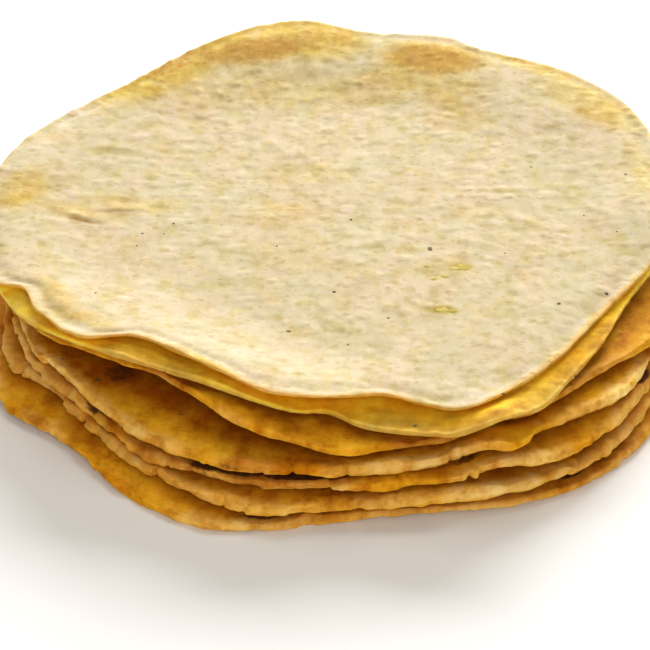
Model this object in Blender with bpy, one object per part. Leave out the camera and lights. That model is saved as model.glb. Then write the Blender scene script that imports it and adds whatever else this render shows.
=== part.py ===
"""A stack of seven corn tortillas, each lying loosely on the one below.

The stack's front is towards -Y and +Z is up. The origin is under the middle of the bottom tortilla,
on the surface that it lies on. The sizes below are in millimetres, and MM turns them into metres as
each point is made. Bearings are in degrees, counter-clockwise from +X as seen from above.
"""

from collections import namedtuple

import bmesh
import bpy
import numpy as np

MM = 0.001

THICKNESS = 1.8
SEGMENTS = 64

# The rings between a tortilla's middle and its rim, as shares of the way out.
FACE_RINGS = (0.32, 0.60, 0.80, 0.92)

# The rounded rim, from underside to top: how far it is drawn in, and its height as a share of the thickness.
RIM_RINGS = ((0.7, 0.06), (0.0, 0.50), (0.7, 0.94))

# How the dishing grows on the way out, and how far past the mean radius it goes on growing.
DISHING_POWER = 3
DISHING_REACH = 1.1

ROUGHNESS = 0.75

# Where the outline stands out or is drawn in: by how much at the middle of that stretch, and how many
# degrees to either side it fades over.
Bulge = namedtuple("Bulge", "bearing spread out")

# Where the rim rises off what is below: how far in from the rim the rise starts, and its height there.
Lift = namedtuple("Lift", "bearing spread reach rise")

# gap is the air under the middle, and dishing is how much more of it there is at the rim.
Tortilla = namedtuple("Tortilla", "name centre radius gap dishing bulges lifts colour")

# From the bottom of the stack to its top.
STACK = (
    Tortilla(
        name="tortilla_1_bottom",
        centre=(0.0, 0.0),
        radius=80.0,
        gap=0.0,
        dishing=0.0,
        bulges=(
            Bulge(204, 14, 2.5),
            Bulge(222, 13, -2.0),
            Bulge(249, 21, 3.0),
            Bulge(276, 26, -4.0),
            Bulge(319, 36, 4.0),
            Bulge(20, 40, -2.0),
            Bulge(105, 45, -1.5),
            Bulge(165, 30, 1.5),
        ),
        lifts=(
            Lift(215, 30, 22, 1.6),
            Lift(285, 30, 20, 1.3),
            Lift(340, 30, 20, 0.6),
            Lift(95, 40, 22, 0.6),
            Lift(160, 30, 20, 0.6),
        ),
        colour=(0.63, 0.41, 0.16),
    ),
    Tortilla(
        name="tortilla_2",
        centre=(2.0, 1.0),
        radius=78.0,
        gap=1.0,
        dishing=0.2,
        bulges=(
            Bulge(199, 11, 2.8),
            Bulge(219, 30, -4.5),
            Bulge(256, 15, 2.0),
            Bulge(308, 36, 4.0),
            Bulge(40, 35, -2.0),
            Bulge(90, 30, 1.0),
            Bulge(150, 40, -1.0),
        ),
        lifts=(
            Lift(275, 35, 22, 0.6),
            Lift(320, 30, 22, 0.8),
            Lift(60, 35, 22, 0.8),
            Lift(180, 40, 22, 0.7),
        ),
        colour=(0.64, 0.42, 0.17),
    ),
    Tortilla(
        name="tortilla_3",
        centre=(2.0, 2.0),
        radius=76.5,
        gap=1.0,
        dishing=0.2,
        bulges=(
            Bulge(220, 17, -2.5),
            Bulge(271, 34, -1.0),
            Bulge(312, 33, 4.0),
            Bulge(60, 40, 1.5),
            Bulge(145, 40, -2.0),
        ),
        lifts=(
            Lift(297, 10, 16, 2.6),
            Lift(330, 25, 20, 0.6),
            Lift(120, 40, 22, 0.5),
        ),
        colour=(0.62, 0.40, 0.15),
    ),
    Tortilla(
        name="tortilla_4",
        centre=(1.0, 5.0),
        radius=76.5,
        gap=1.0,
        dishing=0.2,
        bulges=(
            Bulge(208, 12, 1.6),
            Bulge(209, 30, -3.0),
            Bulge(251, 32, 1.5),
            Bulge(298, 7, 5.0),
            Bulge(323, 21, 4.0),
            Bulge(70, 35, -1.5),
            Bulge(130, 40, 1.0),
        ),
        lifts=(
            Lift(262, 14, 16, 0.6),
            Lift(310, 30, 22, 0.8),
            Lift(20, 40, 22, 0.8),
            Lift(150, 35, 22, 0.6),
        ),
        colour=(0.60, 0.38, 0.13),
    ),
    Tortilla(
        name="tortilla_5",
        centre=(1.0, 7.0),
        radius=75.0,
        gap=1.0,
        dishing=0.2,
        bulges=(
            Bulge(233, 29, -8.0),
            Bulge(270, 9, 3.0),
            Bulge(336, 24, 5.0),
            Bulge(50, 40, 2.0),
            Bulge(150, 40, 1.5),
        ),
        lifts=(
            Lift(235, 45, 36, 6.0),
            Lift(330, 30, 22, 0.6),
            Lift(80, 35, 22, 0.5),
        ),
        colour=(0.64, 0.43, 0.17),
    ),
    Tortilla(
        name="tortilla_6",
        centre=(0.0, 10.0),
        radius=76.0,
        gap=1.0,
        dishing=0.2,
        bulges=(
            Bulge(200, 31, 3.5),
            Bulge(248, 39, -6.5),
            Bulge(269, 7, -3.5),
            Bulge(295, 23, 8.0),
            Bulge(335, 21, -3.7),
            Bulge(40, 35, 3.0),
            Bulge(115, 35, -2.0),
        ),
        lifts=(
            Lift(345, 35, 26, 0.7),
            Lift(0, 18, 20, 1.4),
            Lift(110, 40, 22, 0.5),
            Lift(275, 30, 20, 0.3),
        ),
        colour=(0.74, 0.52, 0.22),
    ),
    Tortilla(
        name="tortilla_7_top",
        centre=(0.0, 15.0),
        radius=77.5,
        gap=1.4,
        dishing=-0.4,
        bulges=(
            Bulge(174, 42, 3.5),
            Bulge(200, 23, 5.5),
            Bulge(203, 4, 2.5),
            Bulge(206, 9, -4.8),
            Bulge(223, 9, 2.5),
            Bulge(227, 4, 2.5),
            Bulge(235, 14, -8.0),
            Bulge(248, 13, -6.0),
            Bulge(283, 22, -5.0),
            Bulge(290, 14, 8.0),
            Bulge(303, 6, 0.7),
            Bulge(326, 27, -4.9),
            Bulge(33, 36, 5.0),
            Bulge(84, 13, -4.5),
            Bulge(129, 44, -3.4),
            Bulge(97, 42, 6.0),
            Bulge(68, 6, 1.6),
            Bulge(42, 38, 2.2),
        ),
        lifts=(
            Lift(97, 42, 26, 1.2),
            Lift(268, 26, 24, 2.5),
            Lift(292, 14, 14, -0.5),
            Lift(42, 38, 28, 0.5),
            Lift(326, 34, 16, -0.7),
            Lift(205, 30, 22, 0.8),
            Lift(218, 12, 9, -0.8),
            Lift(241, 14, 14, 1.0),
        ),
        colour=(0.82, 0.66, 0.38),
    ),
)


def clear_scene():
    for thing in list(bpy.data.objects):
        bpy.data.objects.remove(thing, do_unlink=True)


def bell(bearing, middle, spread):
    """1 at the middle bearing, falling as a half cosine to 0 at spread degrees to either side."""
    away = np.abs((bearing - middle + 180.0) % 360.0 - 180.0)
    return np.where(away < spread, 0.5 + 0.5 * np.cos(np.pi * away / spread), 0.0)


def ease(share):
    """0 up to 0 and 1 from 1 on, with a smooth S between them."""
    share = np.clip(share, 0.0, 1.0)
    return share * share * (3.0 - 2.0 * share)


def outline(tortilla, bearing):
    """The distance from a tortilla's middle to its rim: its radius and the bulges at that bearing."""
    return tortilla.radius + sum(b.out * bell(bearing, b.bearing, b.spread) for b in tortilla.bulges)


def clearance(tortilla, x, y):
    """The air under a tortilla: its gap, the dishing that grows on the way out, and its lifts."""
    across = x - tortilla.centre[0]
    along = y - tortilla.centre[1]
    way_out = np.hypot(across, along)
    bearing = np.degrees(np.arctan2(along, across))
    share = np.clip(way_out / tortilla.radius, 0.0, DISHING_REACH)
    air = tortilla.gap + tortilla.dishing * share**DISHING_POWER
    for lift in tortilla.lifts:
        risen = ease((way_out - tortilla.radius + lift.reach) / lift.reach)
        air = air + lift.rise * bell(bearing, lift.bearing, lift.spread) * risen
    return air


def underside(level, x, y):
    """The height of the underside at a level: the air under it and everything that lies below it."""
    return level * THICKNESS + sum(clearance(tortilla, x, y) for tortilla in STACK[: level + 1])


def ring(level, share, drawn_in, height_share):
    """The points of one ring, at a share of the way to the rim, less what it is drawn in by."""
    tortilla = STACK[level]
    bearing = np.arange(SEGMENTS) * 360.0 / SEGMENTS
    way_out = share * outline(tortilla, bearing) - drawn_in
    x = tortilla.centre[0] + way_out * np.cos(np.radians(bearing))
    y = tortilla.centre[1] + way_out * np.sin(np.radians(bearing))
    z = underside(level, x, y) + height_share * THICKNESS
    return np.stack([x, y, z], axis=1) * MM


def middle_point(level, height_share):
    """The point at a tortilla's middle, on its underside or on its top."""
    x, y = STACK[level].centre
    z = underside(level, x, y) + height_share * THICKNESS
    return np.array([x, y, z]) * MM


def rings_of(level):
    """The rings of a tortilla in order: out along its underside, round its rim and back in over its top."""
    rings = [ring(level, share, 0.0, 0.0) for share in FACE_RINGS]
    rings += [ring(level, 1.0, drawn_in, height) for drawn_in, height in RIM_RINGS]
    rings += [ring(level, share, 0.0, 1.0) for share in reversed(FACE_RINGS)]
    return rings


def bridge(mesh, lower, upper):
    """Faces between two rings of as many points, facing away from the tortilla."""
    for i in range(SEGMENTS):
        j = (i + 1) % SEGMENTS
        mesh.faces.new((lower[i], lower[j], upper[j], upper[i]))


def close(mesh, ring_points, pole, upwards):
    """A fan of faces between the innermost ring and the middle point."""
    for i in range(SEGMENTS):
        j = (i + 1) % SEGMENTS
        corners = (ring_points[i], ring_points[j], pole)
        mesh.faces.new(corners if upwards else corners[::-1])


def baked_masa(tortilla):
    """The finish of a tortilla: matt, with its own shade of golden maize."""
    material = bpy.data.materials.new(tortilla.name)
    material.use_nodes = True
    shader = material.node_tree.nodes["Principled BSDF"]
    shader.inputs["Base Color"].default_value = (*tortilla.colour, 1.0)
    shader.inputs["Roughness"].default_value = ROUGHNESS
    shader.inputs["Metallic"].default_value = 0.0
    return material


def make_tortilla(level):
    """One closed disc, draped over those below it."""
    tortilla = STACK[level]
    shape = bmesh.new()
    rings = [[shape.verts.new(point) for point in points] for points in rings_of(level)]
    bottom = shape.verts.new(middle_point(level, 0.0))
    top = shape.verts.new(middle_point(level, 1.0))
    close(shape, rings[0], bottom, upwards=False)
    for lower, upper in zip(rings, rings[1:]):
        bridge(shape, lower, upper)
    close(shape, rings[-1], top, upwards=True)
    mesh = bpy.data.meshes.new(tortilla.name)
    shape.to_mesh(mesh)
    shape.free()
    mesh.materials.append(baked_masa(tortilla))
    mesh.shade_smooth()
    disc = bpy.data.objects.new(tortilla.name, mesh)
    bpy.context.scene.collection.objects.link(disc)
    return disc


clear_scene()
for stack_level in range(len(STACK)):
    make_tortilla(stack_level)
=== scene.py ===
"""The looks of a stack of seven corn tortillas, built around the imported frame.

Lengths in this file are in millimetres, and MM turns them into metres where points are made. Bearings
are in degrees, counter-clockwise from +X as seen from above; the front of the stack is towards -Y. A
tortilla's level is its place in the stack, from 0 at the bottom to TOPMOST.
"""

import math
from collections import namedtuple

import bpy
import numpy as np
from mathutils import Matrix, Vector


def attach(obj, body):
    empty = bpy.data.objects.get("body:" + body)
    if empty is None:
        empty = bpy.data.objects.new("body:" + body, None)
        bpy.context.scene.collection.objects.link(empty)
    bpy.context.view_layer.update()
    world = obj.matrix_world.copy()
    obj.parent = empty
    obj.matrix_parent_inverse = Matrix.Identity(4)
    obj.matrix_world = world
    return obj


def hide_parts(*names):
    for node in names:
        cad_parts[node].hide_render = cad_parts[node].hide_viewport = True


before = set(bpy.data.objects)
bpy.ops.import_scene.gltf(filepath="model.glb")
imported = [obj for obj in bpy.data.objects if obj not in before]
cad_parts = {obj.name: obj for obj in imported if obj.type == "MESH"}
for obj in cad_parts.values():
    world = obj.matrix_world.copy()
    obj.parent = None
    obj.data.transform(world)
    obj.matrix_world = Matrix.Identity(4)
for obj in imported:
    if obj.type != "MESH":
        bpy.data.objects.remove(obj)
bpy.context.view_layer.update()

MM = 0.001

# ---- the shape of the stack

# The thickness of each tortilla, how its dishing grows on the way out, and how far past the mean radius.
THICKNESS = 1.8
DISHING_POWER = 3
DISHING_REACH = 1.1

# A tortilla as in the CAD. Its bulges are where its outline stands out or is drawn in: the bearing, how
# many degrees to either side it fades over, and how far out it stands. Its lifts are where its rim rises
# off what is below: the bearing, the spread, how far in from the rim the rise starts, and its height. Its
# gap is the air under its middle, and its dishing how much more of it there is at the rim.
Tortilla = namedtuple("Tortilla", "node centre radius bulges lifts gap dishing", defaults=(1.0, 0.2))

STACK = (
    Tortilla(
        "tortilla_1_bottom", centre=(0.0, 0.0), radius=80.0, gap=0.0, dishing=0.0,
        bulges=(
            (204, 14, 2.5), (222, 13, -2.0), (249, 21, 3.0), (276, 26, -4.0), (319, 36, 4.0),
            (20, 40, -2.0), (105, 45, -1.5), (165, 30, 1.5),
        ),
        lifts=(
            (215, 30, 22, 1.6), (285, 30, 20, 1.3), (340, 30, 20, 0.6), (95, 40, 22, 0.6),
            (160, 30, 20, 0.6),
        ),
    ),
    Tortilla(
        "tortilla_2", centre=(2.0, 1.0), radius=78.0,
        bulges=(
            (199, 11, 2.8), (219, 30, -4.5), (256, 15, 2.0), (308, 36, 4.0), (40, 35, -2.0), (90, 30, 1.0),
            (150, 40, -1.0),
        ),
        lifts=((275, 35, 22, 0.6), (320, 30, 22, 0.8), (60, 35, 22, 0.8), (180, 40, 22, 0.7)),
    ),
    Tortilla(
        "tortilla_3", centre=(2.0, 2.0), radius=76.5,
        bulges=((220, 17, -2.5), (271, 34, -1.0), (312, 33, 4.0), (60, 40, 1.5), (145, 40, -2.0)),
        lifts=((297, 10, 16, 2.6), (330, 25, 20, 0.6), (120, 40, 22, 0.5)),
    ),
    Tortilla(
        "tortilla_4", centre=(1.0, 5.0), radius=76.5,
        bulges=(
            (208, 12, 1.6), (209, 30, -3.0), (251, 32, 1.5), (298, 7, 5.0), (323, 21, 4.0), (70, 35, -1.5),
            (130, 40, 1.0),
        ),
        lifts=((262, 14, 16, 0.6), (310, 30, 22, 0.8), (20, 40, 22, 0.8), (150, 35, 22, 0.6)),
    ),
    Tortilla(
        "tortilla_5", centre=(1.0, 7.0), radius=75.0,
        bulges=((233, 29, -8.0), (270, 9, 3.0), (336, 24, 5.0), (50, 40, 2.0), (150, 40, 1.5)),
        lifts=((235, 45, 36, 6.0), (330, 30, 22, 0.6), (80, 35, 22, 0.5)),
    ),
    Tortilla(
        "tortilla_6", centre=(0.0, 10.0), radius=76.0,
        bulges=(
            (200, 31, 3.5), (248, 39, -6.5), (269, 7, -3.5), (295, 23, 8.0), (335, 21, -3.7), (40, 35, 3.0),
            (115, 35, -2.0),
        ),
        lifts=((345, 35, 26, 0.7), (0, 18, 20, 1.4), (110, 40, 22, 0.5), (275, 30, 20, 0.3)),
    ),
    Tortilla(
        "tortilla_7_top", centre=(0.0, 15.0), radius=77.5, gap=1.4, dishing=-0.4,
        bulges=(
            (174, 42, 3.5), (200, 23, 5.5), (203, 4, 2.5), (206, 9, -4.8), (223, 9, 2.5), (227, 4, 2.5),
            (235, 14, -8.0), (248, 13, -6.0), (283, 22, -5.0), (290, 14, 8.0), (303, 6, 0.7),
            (326, 27, -4.9), (33, 36, 5.0), (84, 13, -4.5), (129, 44, -3.4), (97, 42, 6.0), (68, 6, 1.6),
            (42, 38, 2.2),
        ),
        lifts=(
            (97, 42, 26, 1.2), (268, 26, 24, 2.5), (292, 14, 14, -0.5), (42, 38, 28, 0.5),
            (326, 34, 16, -0.7), (205, 30, 22, 0.8), (218, 12, 9, -0.8), (241, 14, 14, 1.0),
        ),
    ),
)
# The levels of the topmost tortilla, and of the second and the third from the top.
TOPMOST = len(STACK) - 1
SECOND = TOPMOST - 1
THIRD = TOPMOST - 2

# ---- numbers that shapes are made with

# Large odd numbers that spread a lattice point's whole numbers and its seed over 32 bits.
COLUMN_SPREAD, ROW_SPREAD, SEED_SPREAD = 374761393, 668265263, 974711
FIRST_FOLD, SECOND_FOLD = 2246822519, 3266489917
LARGEST = 4294967295.0

# How far each layer of rough noise is turned from the one before, in radians.
LAYER_TURN = 0.6

# The seeds that each kind of draw starts from.
CRACK_SEED, BLOCK_SEED, RIM_SEED, CREASE_SEED, OVAL_SEED = 5, 9, 40, 71, 77
LEAN_SEED, FACE_SEED, STRAY_SEED, BLOTCH_SEED, BURN_SEED = 90, 200, 300, 320, 340
RIM_PALE_SEED, GOLDEN_SEED, TOP_SEED, UNDER_SEED, EDGE_SEED = 360, 380, 500, 520, 600
BENEATH_SEED = 900


def bell(bearing, middle, spread):
    """1 at the middle bearing, falling as a half cosine to 0 at spread degrees to either side."""
    away = np.abs((bearing - middle + 180.0) % 360.0 - 180.0)
    return np.where(away < spread, 0.5 + 0.5 * np.cos(np.pi * away / spread), 0.0)


def ease(share):
    """0 up to 0 and 1 from 1 on, with a smooth S between them."""
    share = np.clip(share, 0.0, 1.0)
    return share * share * (3.0 - 2.0 * share)


def varied(bearing, plain, changes):
    """A measure that changes round a rim: its plain value, and what each change adds at its bearing."""
    return plain + sum(more * bell(bearing, middle, spread) for middle, spread, more in changes)


def scramble(column, row, seed):
    """A fixed number from 0 to 1 for each lattice point: its whole numbers multiplied, shifted and folded."""
    folded = column.astype(np.uint32) * np.uint32(COLUMN_SPREAD)
    folded = folded + row.astype(np.uint32) * np.uint32(ROW_SPREAD)
    folded = (folded + np.uint32(seed * SEED_SPREAD)) * np.uint32(FIRST_FOLD)
    folded ^= folded >> np.uint32(15)
    folded *= np.uint32(SECOND_FOLD)
    folded ^= folded >> np.uint32(13)
    return folded.astype(np.float64) / LARGEST


def drawn(number, level, seed):
    """A fixed number from 0 to 1 for each of a tortilla's numbered cracks or blocks."""
    return scramble(number, number * 0 + level, seed)


def swell(x, y, size, seed):
    """Soft noise from -1 to 1: lattice values size apart, blended by a smooth S in both directions."""
    column, row = np.floor(x / size), np.floor(y / size)
    across, along = ease(x / size - column), ease(y / size - row)
    column, row = column.astype(np.int64), row.astype(np.int64)
    near, far = (
        scramble(column, line, seed) * (1 - across) + scramble(column + 1, line, seed) * across
        for line in (row, row + 1)
    )
    return 2.0 * (near * (1 - along) + far * along) - 1.0


def waves(x, y, layers, seed, step):
    """Layers of soft noise, each with a height and a size of its own."""
    return sum(height * swell(x, y, size, seed + i * step) for i, (height, size) in enumerate(layers))


def rough(x, y, size, seed, layers):
    """Layers of soft noise, each turned, half the size and half as strong as the one before."""
    total = np.zeros_like(x)
    for layer in range(layers):
        cosine, sine = math.cos(LAYER_TURN * layer), math.sin(LAYER_TURN * layer)
        turned_x, turned_y = x * cosine - y * sine, x * sine + y * cosine
        total = total + 0.5**layer * swell(turned_x, turned_y, size / 2**layer, seed + layer)
    return total / (2.0 - 2.0 * 0.5**layers)


def cells_near(x, y, size, seed):
    """Each point's lattice cell and the eight around it, in turn, with five fixed numbers of each cell."""
    column = np.floor(x / size).astype(np.int64)
    row = np.floor(y / size).astype(np.int64)
    for step_x in (-1, 0, 1):
        for step_y in (-1, 0, 1):
            cell_x, cell_y = column + step_x, row + step_y
            yield cell_x, cell_y, [scramble(cell_x, cell_y, seed + i) for i in range(5)]


def spots(x, y, size, share, seed):
    """Round spots from 0 to 1, one in each lattice cell that is chosen, at a place and width of its own."""
    strongest = np.zeros_like(x)
    for cell_x, cell_y, (right, back, width, chance, _) in cells_near(x, y, size, seed):
        radius = size * (0.25 + 0.45 * width)
        away = np.hypot(x - (cell_x + right) * size, y - (cell_y + back) * size) / radius
        strongest = np.maximum(strongest, (chance < share) * ease(1.0 - away))
    return strongest


def crumbs(x, y, size, share, seed):
    """Lumps of meal from 0 to 1: in some lattice cells one oval lump, of its own width and height."""
    highest = np.zeros_like(x)
    for cell_x, cell_y, (right, back, width, chance, _) in cells_near(x, y, size, seed):
        across = x - (cell_x + 0.5 + 0.8 * (right - 0.5)) * size
        along = y - (cell_y + 0.5 + 0.8 * (back - 0.5)) * size
        away = np.hypot(across / 1.3, along) / (size * (0.30 + 0.30 * width))
        height = np.clip(1.0 - chance / share, 0.0, 1.0)
        highest = np.maximum(highest, height**0.5 * ease(1.8 * (1.15 - away)))
    return highest


def flakes(x, y, size, share, seed):
    """Flakes of skin from 0 to 1: in some cells a short lip, steep in front, that sinks away behind."""
    highest = np.zeros_like(x)
    for cell_x, cell_y, (right, back, width, chance, slant) in cells_near(x, y, size, seed):
        along = x - (cell_x + 0.2 + 0.6 * right) * size
        across = y - (cell_y + 0.2 + 0.6 * back) * size
        across = across + along * (0.7 * slant - 0.35)
        half = size * (0.14 + 0.24 * width)
        height = np.clip(1.0 - chance / share, 0.0, 1.0)
        lip = ease(0.5 + across / 0.6) * ease(1.0 - across / (0.75 * size))
        highest = np.maximum(highest, height**0.7 * lip * ease(1.5 - np.abs(along) / half))
    return highest


# ---- where the tortillas lie


def polar(tortilla, x, y):
    """The distance of each point from a tortilla's middle, and its bearing there."""
    across = x - tortilla.centre[0]
    along = y - tortilla.centre[1]
    return np.hypot(across, along), np.degrees(np.arctan2(along, across))


def place_at(tortilla, bearing, reach):
    """The x and y of the points at some bearings and distances from a tortilla's middle."""
    radians = np.radians(bearing)
    return tortilla.centre[0] + reach * np.cos(radians), tortilla.centre[1] + reach * np.sin(radians)


def turned(x, y, middle_x, middle_y, degrees):
    """How far each point lies along and across a line through a middle that points at some degrees."""
    cosine, sine = math.cos(math.radians(degrees)), math.sin(math.radians(degrees))
    along = (x - middle_x) * cosine + (y - middle_y) * sine
    return along, (y - middle_y) * cosine - (x - middle_x) * sine


def outline(tortilla, bearing):
    """The distance from a tortilla's middle to its rim: its radius and the bulges at that bearing."""
    return varied(bearing, tortilla.radius, tortilla.bulges)


def clearance(tortilla, x, y):
    """The air under a tortilla: its gap, the dishing that grows on the way out, and its lifts."""
    way_out, bearing = polar(tortilla, x, y)
    share = np.clip(way_out / tortilla.radius, 0.0, DISHING_REACH)
    air = tortilla.gap + tortilla.dishing * share**DISHING_POWER
    for middle, spread, reach, rise in tortilla.lifts:
        air = air + rise * bell(bearing, middle, spread) * ease((way_out - tortilla.radius + reach) / reach)
    return air


def lie(level, x, y):
    """The height at which a tortilla's underside lies: the air under it and everything below it."""
    return level * THICKNESS + sum(clearance(tortilla, x, y) for tortilla in STACK[: level + 1])


# ---- how each one is baked

# A tortilla's own finish: how thick its rim is, how crumbly, how many cracks are in it, how pale its rim and
# its faces have stayed, how far in its rim's pale band goes, and how far out from under the one above its
# face the painted shade (lower tortillas) or painted glow (second from the top) reaches. Its swellings are
# where its rim almost rests on the one below (bearing, spread, depth). Its pale stretches are where its rim
# never touched the griddle (bearing, spread, strength).
Bake = namedtuple(
    "Bake",
    "rim_thickness crumble cracks rim_cream cream pale_over damp_outside swellings pale_stretches",
    defaults=(0.0, 3.2, 5.5, (), ()),
)

BAKES = (
    Bake(
        rim_thickness=2.0, crumble=1.0, cracks=30, rim_cream=0.9,
        pale_stretches=((257, 14, 0.8), (288, 22, 0.6), (318, 12, 0.6)),
    ),
    Bake(
        rim_thickness=2.3, crumble=1.4, cracks=46, rim_cream=1.0,
        swellings=((208, 22, 1.4), (294, 13, 0.9), (321, 15, 0.9), (345, 20, 0.9), (60, 30, 1.0)),
        pale_stretches=(
            (205, 22, 0.8), (233, 12, 0.6), (277, 8, 0.6), (294, 13, 1.0), (307, 7, 0.9), (320, 14, 0.7),
        ),
    ),
    Bake(
        rim_thickness=2.2, crumble=1.4, cracks=40, rim_cream=1.0,
        swellings=((208, 24, 1.5), (299, 9, 0.8), (326, 16, 1.0), (110, 30, 1.0)),
        pale_stretches=((206, 22, 0.8), (240, 12, 0.5), (260, 14, 0.6), (299, 10, 1.0), (325, 14, 0.6)),
    ),
    Bake(
        rim_thickness=2.1, crumble=1.2, cracks=34, rim_cream=1.0,
        swellings=((206, 20, 1.4), (283, 13, 0.8), (322, 17, 1.1), (80, 24, 0.9)),
        pale_stretches=((208, 20, 0.9), (233, 14, 0.7), (283, 14, 0.9), (322, 17, 1.0)),
    ),
    Bake(
        rim_thickness=1.6, crumble=0.9, cracks=16, rim_cream=0.6, pale_over=3.0,
        swellings=((338, 16, 0.7),),
        pale_stretches=((296, 9, 1.0), (318, 10, 0.8)),
    ),
    Bake(rim_thickness=1.0, crumble=0.5, cracks=7, rim_cream=0.6, pale_over=1.1, damp_outside=6.0),
    Bake(rim_thickness=0.7, crumble=0.3, cracks=0, rim_cream=1.0, cream=1.0, pale_over=3.0),
)

# Marks on top faces, by level: most are what the griddle or the press left, and some are painted shade or
# light. Each is an oval: its middle, its half length and half width, the way its length points in degrees,
# and its strength. Golden parts are where the masa has dried to its deeper colour, and the light patch is
# painted light, where the tortilla above shades the second from the top.
GOLDEN = {
    6: (
        (-20, 88, 24, 10, 8, 1.0), (-43, 74, 18, 9, 38, 1.0), (-5, 88, 12, 9, 0, 1.0),
        (-8, 67, 40, 7, 4, 0.35), (25, 80, 12, 7, -8, 1.0), (20, 73, 14, 6, 12, 0.6),
        (28, 68, 8, 8, -8, 0.5), (31, 54, 7, 5, 0, 0.35), (8, 68, 14, 5, 0, 0.45),
        (50, 77, 12, 4, -35, 0.8), (63, 59, 14, 6, -50, 0.7), (73, 30, 12, 3, -80, 0.5),
        (-73, 21, 8, 5, 70, 0.8), (-61, -23, 9, 3.0, -62, 0.55), (-55, -32.5, 8, 2.6, -35, 0.55),
        (-41, -44, 9, 1.8, -14, 0.6), (-25, -52.5, 11, 1.8, -40, 0.7), (24.5, -25, 3.0, 1.3, -4, 0.9),
        (28.5, -8.3, 2.6, 1.2, 6, 0.8), (24.0, -12.4, 2.2, 1.0, 0, 0.5), (-61, 14, 6, 3, -10, 0.5),
        (-47, 17, 9, 3, -12, 0.5), (-12, 13, 8, 5, 0, 0.3), (25, -9, 6, 4, 0, 0.35),
        (-8, 30, 9, 4, 0, 0.25), (34, 14, 7, 3, 0, 0.25), (-10, -4, 10, 4, -20, 0.2),
    ),
}
# Painted light on the second from the top, at the left, in the shade of the topmost.
PAINTED_LIGHT_PATCHES = {
    5: ((-70, -20, 12, 9, -60, 1.0),),
}
# Griddle-brown marks, and painted shade: on the second from the top the lit part at the front right, and on
# the topmost a short line under each of its two left creases.
TOAST_AND_SHADE = {
    6: (
        # The first two are the painted shade under the left creases.
        (-58, 9.8, 3.0, 0.5, -18, 0.7), (-48, 12.6, 3.5, 0.4, -6, 0.5), (-20, 82, 14, 4.5, 14, 0.7),
        (-40, 78, 12, 4, 36, 0.5), (-3, 87, 9, 5, 0, 0.4), (-38, 76.5, 1.2, 1.0, 30, 1.0),
        (25, 79, 11, 6.0, -10, 0.65), (10, 70, 8, 3.5, 10, 0.25), (-72, 19, 3, 1.5, 60, 0.25),
    ),
    # All three darken the lit part as painted shade.
    5: (
        (50, -40, 20, 7, 42, 0.55), (64, -22, 16, 6, 58, 0.55), (33, -62, 9, 3, 20, 0.5),
    ),
    3: (
        (-47, -35, 5, 7, -40, 1.0), (-38, -46, 8, 3, -35, 0.7), (-14, -71, 12, 3, 0, 1.0),
        (-30, -50, 16, 8, -30, 0.35), (-66, -32, 2, 1.5, -50, 0.9), (-57, -35, 1.5, 1.5, 0, 0.8),
        (-60, -44, 2, 1.5, 0, 0.6),
    ),
    2: (
        (-8, -71.5, 14, 2, -2, 0.7), (-57, -36, 2, 1.2, -50, 0.8), (22, -66, 8, 3, 10, 0.5),
    ),
    1: (
        (-5, -74, 22, 3, 0, 0.5), (-62, -46, 3, 1.5, -45, 0.6), (43, -72, 1.5, 1.5, 0, 0.8),
    ),
    0: (
        (-65, -45, 3, 2, -45, 0.7), (-48, -64, 6, 1.5, -35, 0.6), (-69, -43, 4, 1.5, -50, 0.5),
        (-25, -80, 1.5, 1.2, 0, 0.9),
    ),
}
SCORCH = {
    3: (
        (-47, -37, 3.0, 3.5, -40, 0.62), (-25, -69.5, 6, 0.8, -13, 0.5),
    ),
    2: (
        (-22.5, -67.3, 8, 1.8, -13, 1.0), (-6, -70.3, 8, 1.5, -3, 1.0), (-51, -46, 4, 1.8, -45, 0.9),
        (28, -66, 3, 1.5, 20, 0.6), (68, -37, 3, 1.2, 60, 0.8),
    ),
    0: (
        (-16, -76, 4, 0.8, -8, 0.7), (17, -73, 4, 1.0, 6, 0.9), (51, -61.5, 3, 1.0, 32, 0.9),
    ),
}
OLIVE = {
    6: (
        (24.5, -25, 3.0, 1.3, -4, 0.9), (28.5, -8.3, 2.4, 1.1, 6, 0.8), (-53, 39, 6, 1.5, 0, 0.8),
        (8, 0, 3, 1, 0, 0.6), (15, -1, 2.5, 1, 0, 0.6), (43, 8, 4, 2, 0, 0.5), (40, 23, 3, 1, 0, 0.7),
        (12, 62, 6, 2, 0, 0.7), (28, 60, 5, 2, 0, 0.6),
    ),
}

# A mark has faded away at this many of its half widths from its middle.
MARK_FADE = 1.6

# Creases where the skin of the topmost face has folded over itself: the middle, half length, the way it
# points, how wide the lip is and how far it stands up.
CREASES = (
    (-58, 11, 4.0, -18, 2.2, 0.42), (-48, 14, 4.5, -6, 2.2, 0.36), (-10, 37, 4.0, 4, 2.0, 0.14),
    (12, 55, 3.0, 0, 2.0, 0.14), (36, 12, 4.0, 8, 2.0, 0.12), (30, 33, 3.5, -4, 2.0, 0.12),
    (-36, 44, 4.0, 10, 2.0, 0.10), (-52, 40, 4.0, 2, 2.0, 0.16), (-20, -3, 3.0, -10, 2.0, 0.10),
    (6, 0, 4.0, 2, 2.0, 0.12), (52, -4, 4.0, 14, 2.0, 0.10), (-6, 62, 3.5, 0, 2.0, 0.14),
)


def mark_cover(marks, level, x, y):
    """How strongly the marks of one kind cover each point: fully in an ellipse, easing off at its edge."""
    cover = np.zeros_like(x)
    for middle_x, middle_y, long, wide, degrees, strength in marks.get(level, ()):
        along, across = turned(x, y, middle_x, middle_y, degrees)
        cover = np.maximum(cover, strength * ease(MARK_FADE - np.hypot(along / long, across / wide)))
    return cover


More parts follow.
